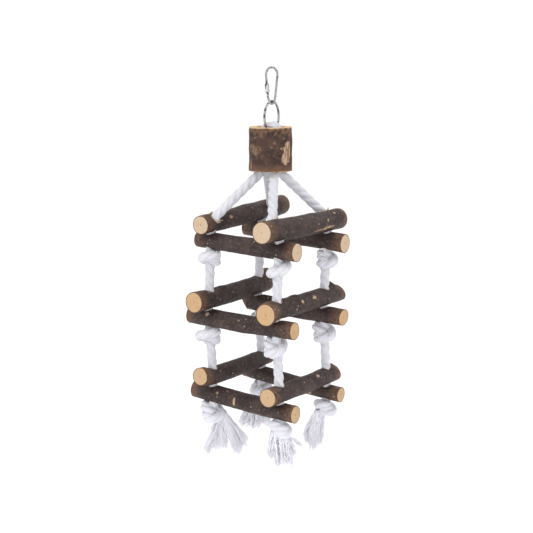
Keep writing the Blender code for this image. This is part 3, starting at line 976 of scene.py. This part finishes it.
# %% Perch bark
def perch_bark_paint():
    """Dark smooth bark with pale pores, bare scars and browner ends."""
    paint = Paint("perch_bark", Roughness=0.58, Specular_IOR_Level=0.32)
    place = paint.vector_attribute("wood_place")
    bare = paint.mask_attribute("bare")
    near_end = paint.mask_attribute("near_end")
    fine = paint.noise(place, 1500.0, 5.0, 0.65)
    medium = paint.noise(place, 330.0, 4.0, 0.6)
    broad = paint.noise(place, 62.0, 3.0)
    long_grain = paint.noise(paint.stretched(place, (0.22, 1.0, 1.0)), 1100.0, 4.0, 0.6)
    pore_field = {"Vector": place, "Scale": 125.0, "Randomness": 1.0}
    pore_distance = paint.node("ShaderNodeTexVoronoi", sockets=pore_field, output="Distance")
    pores = 1 - paint.step(pore_distance + (fine - 0.5) * 0.10, 0.08, 0.15)
    pores = pores * paint.step(medium, 0.36, 0.46)
    base = paint.mix(paint.step(broad, 0.35, 0.68), tone(42, 30, 29), tone(65, 50, 47))
    base = paint.mix(paint.step(medium, 0.48, 0.70) * 0.58, base, tone(98, 82, 78))
    base = paint.mix(paint.step(long_grain, 0.55, 0.75) * 0.45, base, tone(32, 23, 22))
    warm = near_end * paint.step(medium + broad * 0.5, 0.45, 0.85)
    base = paint.mix(warm * 0.8, base, tone(112, 82, 62))
    base = paint.mix(pores * 0.7, base, tone(160, 142, 124))
    scar = paint.mix(paint.step(long_grain, 0.35, 0.62), tone(128, 98, 76), tone(196, 166, 136))
    paint.set(Base_Color=paint.mix(bare, base, scar))
    paint.set(Roughness=0.52 + fine * 0.2 + bare * 0.15)
    relief = medium * 0.5 + fine * 0.25 + long_grain * 0.45 + pores * 0.3 - bare * 0.3
    paint.relief(relief, 0.0007)
    return paint


def end_grain_paint(name, colour):
    """A sawn end: faint rings round a darker pith, darker specks, and the saw's marks."""
    paint = Paint(name, Roughness=0.78, Specular_IOR_Level=0.25)
    place = paint.vector_attribute("wood_place")
    across = paint.stretched(place, (0.0, 1.0, 1.0))
    wander = paint.noise(place, 150.0, 3.0)
    radius = paint.node("ShaderNodeVectorMath", {"operation": "LENGTH"}, {0: across}, "Value")
    rings = paint.math("SINE", (radius * 1000.0 + wander * 1.6) * 5.2) * 0.5 + 0.5
    fine = paint.noise(place, 2400.0, 3.0)
    saw = paint.noise(paint.stretched(place, (1.0, 0.12, 1.0)), 1800.0, 2.0)
    pith = 1 - paint.step(radius, 0.0006, 0.0013)
    light = tone(*colour)
    dark = tone(*[value * share for value, share in zip(colour, (0.86, 0.79, 0.70))])
    base = paint.mix(rings * 0.45 + fine * 0.25 + paint.step(wander, 0.5, 0.75) * 0.25, light, dark)
    specks = paint.step(paint.noise(place, 900.0, 3.0, 0.7), 0.56, 0.66)
    base = paint.mix(specks * 0.5, base, tone(150, 112, 80))
    paint.set(Base_Color=paint.mix(pith * 0.6, base, tone(150, 112, 78)))
    paint.relief(rings * 0.25 + fine * 0.3 + saw * 0.4, 0.0003)
    return paint


def drilled_paint():
    """Bare wood inside the drilled holes and in the splinters round them."""
    paint = Paint("drilled_wood", Roughness=0.8, Specular_IOR_Level=0.2)
    place = paint.object_place()
    fibres = paint.noise(paint.stretched(place, (1.0, 1.0, 0.25)), 1400.0, 3.0)
    paint.set(Base_Color=paint.mix(fibres, tone(178, 140, 98), tone(230, 200, 160)))
    paint.relief(fibres, 0.0004)
    return paint


PERCH_BARK = perch_bark_paint()
END_GRAINS = {tier: end_grain_paint("end_grain_" + tier, colour) for tier, colour in END_TONES.items()}
DRILLED = drilled_paint()


# %% Drill the holes
DRILL_R = 1.1 * ROPE_R + HOLE_CLEARANCE      # the strands stand a little proud of the rope's radius


def drill(tier, side, corner):
    """The drill's way through one perch, as a tube to cut with."""
    middle, radius = perch_at(tier, side, corner)
    route = leg_route(corner)
    route[-1] = route[-1] - Vector((0, 0, 0.02))
    line = rounded_path(route, TURN_R, 0.0015)
    inside = np.abs(line[:, 2] - middle.z) < radius + 0.007
    name = f"drill_{tier}_{side}_{corner}"
    mesh = tube_mesh(name, [line[inside]], [DRILL_R], 24)
    mesh.materials.append(DRILLED.material)
    cutter = bpy.data.objects.new(name, mesh)
    OBJECTS.objects.link(cutter)
    return cutter


def drilled_mesh(mesh, cutters):
    """The mesh with the cutters taken out of it."""
    holder = bpy.data.objects.new("holder", mesh)
    OBJECTS.objects.link(holder)
    for cutter in cutters:
        hole = holder.modifiers.new("hole", "BOOLEAN")
        hole.operation = "DIFFERENCE"
        hole.solver = "EXACT"
        hole.material_mode = "TRANSFER"
        hole.object = cutter
    graph = bpy.context.evaluated_depsgraph_get()
    result = bpy.data.meshes.new_from_object(holder.evaluated_get(graph))
    for done in [holder, *cutters]:
        bpy.data.objects.remove(done)
    return result


# %% All twelve perches
def perch_body(tier, side):
    """The body that a perch moves with."""
    if tier == "top":
        return "ropes"
    return f"{tier}_lower_perches" if side in ("front", "back") else f"{tier}_{side}_perch"


def make_perch(tier, side):
    name = f"branch_{tier}_{side}"
    mesh = branch_mesh(Branch(tier, side), name)
    mesh.materials.append(PERCH_BARK.material)
    mesh.materials.append(END_GRAINS[tier].material)
    mesh = drilled_mesh(mesh, [drill(tier, side, corner) for corner in SPANS[side]])
    mesh.name = name
    perch = add_piece(name, mesh)
    mesh.set_sharp_from_angle(angle=math.radians(50))
    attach(perch, perch_body(tier, side))
    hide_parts(f"perch_{tier}_{side}")
    return perch


for tier in TIERS:
    for side in SPANS:
        perch = make_perch(tier, side)
    print(tier, "tier done,", len(perch.data.polygons), "faces in its last perch")

# %% [markdown]
# ## Splinters at the upper holes
# The drill came out through the bark of the top perches and tore it, so short pale splinters
# stand round those four holes.  Each one is a thin four-sided spike, leaning away from the rope.

# %% A ring of splinters round each top hole
SPLINTERS = 15               # round each hole
SPLINTER_LENGTHS = 0.0020, 0.0044
SPLINTER_RADII = 0.0006, 0.0011
SPLINTER_TIP_R = 0.00012


def make_splinters(corner):
    """Short spikes of torn wood where a rope enters the top tier."""
    rng = np.random.default_rng(11 + list(CORNERS).index(corner))
    lean = math.radians(HOLE_LEAN[corner][0])
    outwards = Vector((-CORNERS[corner][0] * math.sin(lean), 0, math.cos(lean)))
    across = Vector((0, 1, 0)).cross(outwards)
    shell = bmesh.new()
    for k in range(SPLINTERS):
        angle = math.tau * (k + rng.uniform(-0.4, 0.4)) / SPLINTERS
        rim = Vector((0, 1, 0)) * math.cos(angle) + across * math.sin(angle)
        reach = ROPE_R + HOLE_CLEARANCE + rng.uniform(0.0002, 0.0012)
        sink = 0.0013 * abs(math.sin(angle)) + 0.0009
        foot = top_entry(corner) + rim * reach - outwards * sink
        heading = (outwards * rng.uniform(0.5, 1.0) + rim * rng.uniform(0.1, 0.9)).normalized()
        length = rng.uniform(*SPLINTER_LENGTHS)
        foot_radius = rng.uniform(*SPLINTER_RADII)
        spike = bmesh.ops.create_cone(
            shell, cap_ends=True, segments=4, radius1=foot_radius, radius2=SPLINTER_TIP_R, depth=length,
        )
        turn = heading.to_track_quat("Z", "Y").to_matrix().to_4x4()
        place = Matrix.Translation(foot + heading * length / 2) @ turn
        bmesh.ops.transform(shell, matrix=place, verts=spike["verts"])
    mesh = finished_mesh("splinters_" + corner, shell)
    piece = add_piece("splinters_" + corner, mesh, DRILLED)
    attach(piece, "ropes")
    return len(mesh.polygons)


print("splinter faces:", [make_splinters(corner) for corner in CORNERS])

# %% [markdown]
# ## The head block
# A short thick log with its rough bark left on, bored through for the ropes.  It is turned from
# one profile, and then each point of its wall is moved in or out for the furrows of the bark, for
# the places where it has worn thin, and for those where it has broken away and the bast shows.

# %% Where the bark has broken away
TOWARDS_EYE = TURN           # the block's patches are given as turns from the side that is seen

# Each patch: turn in degrees, depth below the top in mm, half width and half height in mm.
PEELED = (
    (49, 18.5, 2.9, 4.2), (44, 31.5, 4.8, 6.4), (57, 25.0, 3.6, 10.0), (36, 21.0, 4.4, 1.1),
    (47, 24.0, 3.2, 4.0), (-66, 40.0, 1.2, 4.6),
)
WORN = ((-58, 21.0, 5.0, 4.6), (-44, 23.5, 6.0, 4.4), (-36, 21.0, 3.4, 3.0), (-66, 37.5, 2.8, 6.4))
PORES = ((-44, 10.0), (37, 10.5), (10, 15.5), (-12, 4.0), (2, 19.5))   # turn and depth
WALL_MM = 21.4               # the block's radius in mm, to turn degrees into millimetres
FURROWS, SWELLS = 0.0004, 0.0005     # heights of the bark's fine and broad relief, in metres
PEEL_DEPTH, WEAR_DEPTH, PORE_HEIGHT = 0.0010, 0.0004, 0.0003


def patch(turn, depth, places, edge):
    """How far inside any of the patches a point is, from 0 to 1."""
    most = 0.0
    for at_turn, at_depth, half_width, half_height in places:
        across = (turn - at_turn) * math.radians(1) * WALL_MM / half_width
        down = (depth - at_depth) / half_height
        most = max(most, ease((1.15 - math.hypot(across, down) + edge) / 0.3))
    return most


def pore_share(turn, depth, at_turn, at_depth):
    """How near a point is to a pale pore, 1 at its middle."""
    return math.exp(-((turn - at_turn) * 0.37) ** 2 * 0.5 - (depth - at_depth) ** 2 * 0.8)


# %% Turn the block
def block_sizes():
    """The radii of the block's bore and wall, as the fixed model has them."""
    leg = bight_leg("fr")
    legs_reach = math.hypot(leg.x, leg.y) + ROPE_R
    dip = RING_TOP - RING_R - BLOCK_TOP
    ring_reach = math.sqrt((RING_R + WIRE_R) ** 2 - dip ** 2)
    bore = max(legs_reach, ring_reach) + math.hypot(*BLOCK_MIDDLE) + BLOCK_BORE_CLEARANCE
    return bore, bore + BLOCK_WALL


def turned_block():
    """The block's profile, cut fine and turned about its middle."""
    bore, wall = block_sizes()
    foot = wall + BLOCK_SPREAD
    profile = (
        (bore, BLOCK_TOP, 7), (wall, BLOCK_TOP, 60), (foot, BLOCK_BOTTOM, 5),
        (bore + BLOCK_FLARE, BLOCK_BOTTOM, 6), (bore, BLOCK_BOTTOM + BLOCK_FLARE_HEIGHT, 12),
    )
    shell = bmesh.new()
    verts = []
    for (radius, height, pieces), (next_radius, next_height, _) in zip(profile, profile[1:] + profile[:1]):
        for k in range(pieces):
            share = k / pieces
            out = radius + (next_radius - radius) * share
            verts.append(shell.verts.new((out, 0.0, height + (next_height - height) * share)))
    for first, second in zip(verts, verts[1:] + verts[:1]):
        shell.edges.new((first, second))
    bmesh.ops.spin(
        shell, geom=shell.verts[:] + shell.edges[:], cent=(0, 0, 0), axis=(0, 0, 1),
        angle=math.tau, steps=180, use_merge=True,
    )
    bmesh.ops.remove_doubles(shell, verts=shell.verts, dist=1e-6)
    bmesh.ops.recalc_face_normals(shell, faces=shell.faces)
    return shell


def make_block():
    """The turned block with its bark relief and what its finish has to know."""
    shell = turned_block()
    wall = block_sizes()[1]
    bare_layer = shell.verts.layers.float.new("bare")
    worn_layer = shell.verts.layers.float.new("worn")
    pore_layer = shell.verts.layers.float.new("pore")
    place_layer = shell.verts.layers.float_vector.new("wood_place")
    for vert in shell.verts:
        radius = math.hypot(vert.co.x, vert.co.y)
        angle = math.atan2(vert.co.y, vert.co.x)
        turn = math.degrees(angle) + 90 - math.degrees(TOWARDS_EYE)
        turn = (turn + 180) % 360 - 180
        depth = (BLOCK_TOP - vert.co.z) * 1000
        rough = noise.fractal(Vector((vert.co.x * 170, vert.co.y * 170, vert.co.z * 75)), 1.0, 2.0, 4)
        edge = 0.22 * noise.noise(vert.co * 700) + 0.15 * noise.noise(vert.co * 240)
        on_wall = ease((radius - wall + 0.0012) / 0.001)
        bare = patch(turn, depth, PEELED, edge) * on_wall
        worn = patch(turn, depth, WORN, edge) * on_wall
        pore = max(pore_share(turn, depth, at_turn, at_depth) for at_turn, at_depth in PORES)
        vert[place_layer] = Vector((vert.co.z + 3.1, vert.co.x, vert.co.y))
        relief = FURROWS * rough + SWELLS * noise.noise(vert.co * 60)
        grow = on_wall * (relief - PEEL_DEPTH * bare - WEAR_DEPTH * worn)
        grow += PORE_HEIGHT * pore * on_wall
        lift = 0.00025 * noise.noise(vert.co * 420) * on_wall * (1 if vert.co.z > -0.08 else -1)
        factor = 1 + grow / radius
        vert.co = Vector((vert.co.x * factor, vert.co.y * factor, vert.co.z + lift))
        vert[bare_layer] = bare
        vert[worn_layer] = worn
        vert[pore_layer] = pore
    for face in shell.faces:
        middle = face.calc_center_median()
        reach = math.hypot(middle.x, middle.y)
        sawn = abs(face.normal.z) > 0.9 and reach < wall - 0.0009
        face.material_index = 1 if sawn else 2 if reach < wall - 0.003 else 0
    bmesh.ops.translate(shell, vec=(*BLOCK_MIDDLE, 0), verts=shell.verts)
    return finished_mesh("bark_block", shell)


# %% The block's bark
def block_bark_paint():
    """Rough grey-brown bark, redder at the sawn rims, with tan bast where it has peeled."""
    paint = Paint("block_bark", Roughness=0.8, Specular_IOR_Level=0.2)
    place = paint.vector_attribute("wood_place")
    height = paint.node("ShaderNodeSeparateXYZ", sockets={"Vector": paint.object_place()}, output="Z")
    bare = paint.mask_attribute("bare")
    worn = paint.mask_attribute("worn")
    pore = paint.mask_attribute("pore")
    fine = paint.noise(place, 1300.0, 5.0, 0.7)
    medium = paint.noise(place, 260.0, 4.0, 0.62)
    broad = paint.noise(place, 70.0, 3.0)
    grain = paint.noise(paint.stretched(place, (0.2, 1.0, 1.0)), 700.0, 4.0, 0.65)
    base = paint.mix(paint.step(broad, 0.38, 0.62), tone(60, 46, 43), tone(80, 61, 52))
    base = paint.mix(paint.step(medium, 0.48, 0.66) * 0.5, base, tone(108, 86, 74))
    base = paint.mix(paint.step(fine, 0.5, 0.7) * 0.35, base, tone(52, 40, 38))
    ragged = (medium - 0.5) * 0.02 + (broad - 0.5) * 0.012
    top_band = paint.step(height + ragged, BLOCK_TOP - 0.0075, BLOCK_TOP - 0.0040)
    low_band = 1 - paint.step(height + ragged, BLOCK_BOTTOM + 0.0035, BLOCK_BOTTOM + 0.0080)
    warm = (top_band + low_band) * paint.step(medium + fine * 0.5, 0.45, 0.85)
    base = paint.mix(warm, base, tone(112, 84, 66))
    sawn = paint.step(height + ragged * 0.12, BLOCK_TOP - 0.0011, BLOCK_TOP - 0.0006)
    torn = 1 - paint.step(height + ragged * 0.25, BLOCK_BOTTOM + 0.0005, BLOCK_BOTTOM + 0.0012)
    base = paint.mix((sawn + torn * paint.step(medium, 0.42, 0.52)) * 0.85, base, tone(205, 172, 134))
    base = paint.mix(pore * paint.step(fine, 0.42, 0.56) * 0.8, base, tone(160, 134, 108))
    worn_tone = paint.mix(paint.step(grain, 0.4, 0.6), tone(98, 73, 57), tone(138, 110, 90))
    base = paint.mix(paint.step(worn + (fine - 0.5) * 0.5, 0.35, 0.65) * 0.85, base, worn_tone)
    streaks = paint.step(grain, 0.42, 0.6)
    bast = paint.mix(streaks, tone(136, 106, 84), tone(192, 164, 138))
    base = paint.mix(paint.step(bare + (fine - 0.5) * 0.4, 0.35, 0.6), base, bast)
    paint.set(Base_Color=base)
    paint.relief(medium * 0.6 + fine * 0.35 + grain * 0.3 - bare * 0.4, 0.0011)
    return paint


BLOCK_BARK = block_bark_paint()
BLOCK_END = end_grain_paint("block_end_grain", (222, 192, 156))
block = add_piece("bark_block", make_block())
for paint in (BLOCK_BARK, BLOCK_END, DRILLED):
    block.data.materials.append(paint.material)
block.data.set_sharp_from_angle(angle=math.radians(50))
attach(block, "ropes")
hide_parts("head_block")
print("block:", len(block.data.polygons), "faces")

# %% [markdown]
# ## The steel
# The quick link is one bent wire with threaded ends, closed by a six-sided sleeve that screws
# over the gap, and the ring is a wire bent round and welded.  Both are bright zinc-plated steel
# that has dulled a little.  Their colour holds painted reflections: a soft mottle and dark patches
# stand for dark surroundings, and the sleeve's colour is painted brighter for the highlight on it.


# %% The steel's finish
def steel_paint(name, dull, bright):
    """Zinc plate, a little duller in its scratches, with painted reflections in its colour: a mottle from
    the dull tone to the bright one, and dark patches.
    """
    paint = Paint(name, Metallic=1.0, Roughness=0.3)
    place = paint.object_place()
    mottle = paint.noise(place, 420.0, 3.0)
    scratches = paint.noise(paint.stretched(place, (1.0, 1.0, 0.12)), 3000.0, 3.0)
    # Dark patches painted into the plate's colour, standing in for reflections of dark surroundings.
    painted_dark_reflection = paint.step(paint.noise(place, 210.0, 2.0), 0.5, 0.6)
    # Painted reflections: the colour is mottled from the dull tone to the bright one.
    plate = paint.mix(mottle, dull, bright)
    paint.set(Base_Color=paint.mix(painted_dark_reflection * 0.85, plate, tone(58, 53, 55)))
    paint.set(Roughness=0.22 + mottle * 0.12 + scratches * 0.12)
    paint.relief(scratches * 0.5 + mottle * 0.5, 0.00008)
    return paint


STEEL = steel_paint("zinc_plate", tone(136, 133, 138), tone(200, 198, 203))
# The sleeve's plate is painted brighter, standing in for the highlight that its facets catch.
SLEEVE_STEEL = steel_paint("highlight_painted_zinc_plate", tone(196, 195, 200), tone(232, 231, 235))


# %% The quick link's wire and its threads
LEG_TOP = -0.0068            # heights of a straight leg's two ends
LEG_FOOT = -0.0310
LEG_FLARE = 0.0010           # how much further out than the foot's bend a leg starts
GATE_PLACE = 0.54            # the gap's middle, as a share of the way down its leg


def gate_leg():
    """Top and foot of the straight leg with the gap, in the link's own X and Z."""
    return Vector((-LINK_HALF_WIDTH, 0, LEG_TOP)), Vector((-LINK_FOOT_R - LEG_FLARE, 0, LEG_FOOT))


def link_outline():
    """The middle of the link's wire, from one face of the gap round to the other."""
    top, foot = gate_leg()
    along = (foot - top).normalized()
    gate = top.lerp(foot, GATE_PLACE)
    points = [gate + along * (LINK_GATE / 2), foot]
    foot_middle = Vector((0, 0, LINK_FOOT + LINK_FOOT_R))
    for degrees in range(180, 361, 15):
        angle = math.radians(degrees)
        points.append(foot_middle + LINK_FOOT_R * Vector((math.cos(angle), 0, math.sin(angle))))
    points.append(Vector((LINK_FOOT_R + LEG_FLARE, 0, foot.z)))
    points.append(Vector((LINK_HALF_WIDTH, 0, top.z)))
    for degrees in range(10, 171, 10):
        angle = math.radians(degrees)
        rise = (LINK_TOP - top.z) * math.sin(angle)
        points.append(Vector((LINK_HALF_WIDTH * math.cos(angle), 0, top.z + rise)))
    points.append(top)
    points.append(gate - along * (LINK_GATE / 2))
    return [TURN_YAW @ point for point in points], TURN_YAW @ gate, TURN_YAW @ along


def thread_line(start, along, length):
    """A screw thread's crest round the wire, from start towards along."""
    pitch = 0.0007
    side = along.cross(Vector((0.3, 1.0, 0.1))).normalized()
    other = along.cross(side)
    turns = length / pitch
    points = []
    for k in range(int(turns * 12)):
        angle = math.tau * k / 12
        ring = side * math.cos(angle) + other * math.sin(angle)
        points.append(start + ring * (WIRE_R * 0.99) + along * (pitch * k / 12))
    return np.array(points)


outline, gate, down = link_outline()
wire = smoothed(evenly(np.array(outline), 0.0006), 3)
THREAD_LENGTH = 0.0032
threads = [
    thread_line(gate + down * (LINK_GATE / 2 + 0.0003), down, THREAD_LENGTH),
    thread_line(gate - down * (LINK_GATE / 2 + 0.0003), -down, THREAD_LENGTH),
]
mesh = tube_mesh("link_wire", [wire, *threads], [WIRE_R, 0.00018, 0.00018], 16)
link = add_piece("link_wire", mesh, STEEL)
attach(link, "link")
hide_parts("quick_link")
print("link:", len(mesh.polygons), "faces")

# %% The sleeve that closes it
corner_radius = SLEEVE_R * 1.06
sleeve_shell = bmesh.new()
bmesh.ops.create_cone(
    sleeve_shell, cap_ends=True, segments=6, radius1=corner_radius, radius2=corner_radius,
    depth=SLEEVE_LENGTH,
)
caps = [face for face in sleeve_shell.faces if abs(face.normal.z) > 0.9]
bmesh.ops.inset_region(sleeve_shell, faces=caps, thickness=SLEEVE_R * 0.42, use_even_offset=True)
bmesh.ops.inset_region(sleeve_shell, faces=caps, thickness=0.0001, depth=-0.0006, use_even_offset=True)
long_edges = [edge for edge in sleeve_shell.edges if edge.calc_length() > SLEEVE_LENGTH * 0.9]
rims = [
    edge for edge in sleeve_shell.edges
    if all(math.hypot(vert.co.x, vert.co.y) > SLEEVE_R for vert in edge.verts) and edge not in long_edges
]
bmesh.ops.bevel(
    sleeve_shell, geom=long_edges + rims, offset=0.00032, segments=3, profile=0.5,
    affect="EDGES", material=-1, clamp_overlap=True,
)
turn = down.to_track_quat("Z", "Y").to_matrix().to_4x4()
bmesh.ops.transform(sleeve_shell, matrix=Matrix.Translation(gate) @ turn, verts=sleeve_shell.verts)
sleeve_mesh = finished_mesh("hex_sleeve", sleeve_shell)
sleeve = add_piece("hex_sleeve", sleeve_mesh, SLEEVE_STEEL)
sleeve_mesh.set_sharp_from_angle(angle=math.radians(35))
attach(sleeve, "sleeve")
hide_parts("link_sleeve")
print("sleeve:", len(sleeve_mesh.polygons), "faces")

# %% The welded ring
WELD_TURN = math.radians(-60)   # the weld's place round the ring, hidden low in the block
WELD_WIDTH = 0.07               # in radians round the ring
WELD_HEIGHT = 0.22              # as a share of the wire's radius

ring_shell = bmesh.new()
bmesh.ops.create_circle(ring_shell, segments=16, radius=WIRE_R)
bmesh.ops.rotate(ring_shell, matrix=Matrix.Rotation(math.pi / 2, 3, "X"), verts=ring_shell.verts)
bmesh.ops.translate(ring_shell, vec=(RING_R, 0, 0), verts=ring_shell.verts)
bmesh.ops.spin(
    ring_shell, geom=ring_shell.verts[:] + ring_shell.edges[:], cent=(0, 0, 0), axis=(0, 0, 1),
    angle=math.tau, steps=96, use_merge=True,
)
bmesh.ops.remove_doubles(ring_shell, verts=ring_shell.verts, dist=1e-6)
bmesh.ops.recalc_face_normals(ring_shell, faces=ring_shell.faces)
for vert in ring_shell.verts:
    angle = math.atan2(vert.co.y, vert.co.x)
    bead = math.exp(-(((angle - WELD_TURN) / WELD_WIDTH) ** 2))
    centre = Vector((math.cos(angle), math.sin(angle), 0)) * RING_R
    vert.co = centre + (vert.co - centre) * (1 + WELD_HEIGHT * bead)
upright = Matrix.Rotation(HANG_YAW, 4, "Z") @ Matrix.Rotation(math.pi / 2, 4, "Y")
stand = Matrix.Translation((0, 0, RING_TOP - RING_R)) @ upright
bmesh.ops.transform(ring_shell, matrix=stand, verts=ring_shell.verts)
ring_mesh = finished_mesh("welded_ring", ring_shell)
ring = add_piece("welded_ring", ring_mesh, STEEL)
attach(ring, "ring")
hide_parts("hanging_ring")
print("ring:", len(ring_mesh.polygons), "faces")

# %% [markdown]
# ## The sizes, and the end
# The fixed model's box is printed. The looks may not be bigger than the fixed model, apart from a
# few millimetres of bark and yarn.

# %% Print the fixed model's box
print("fixed model", CAD_BOX)
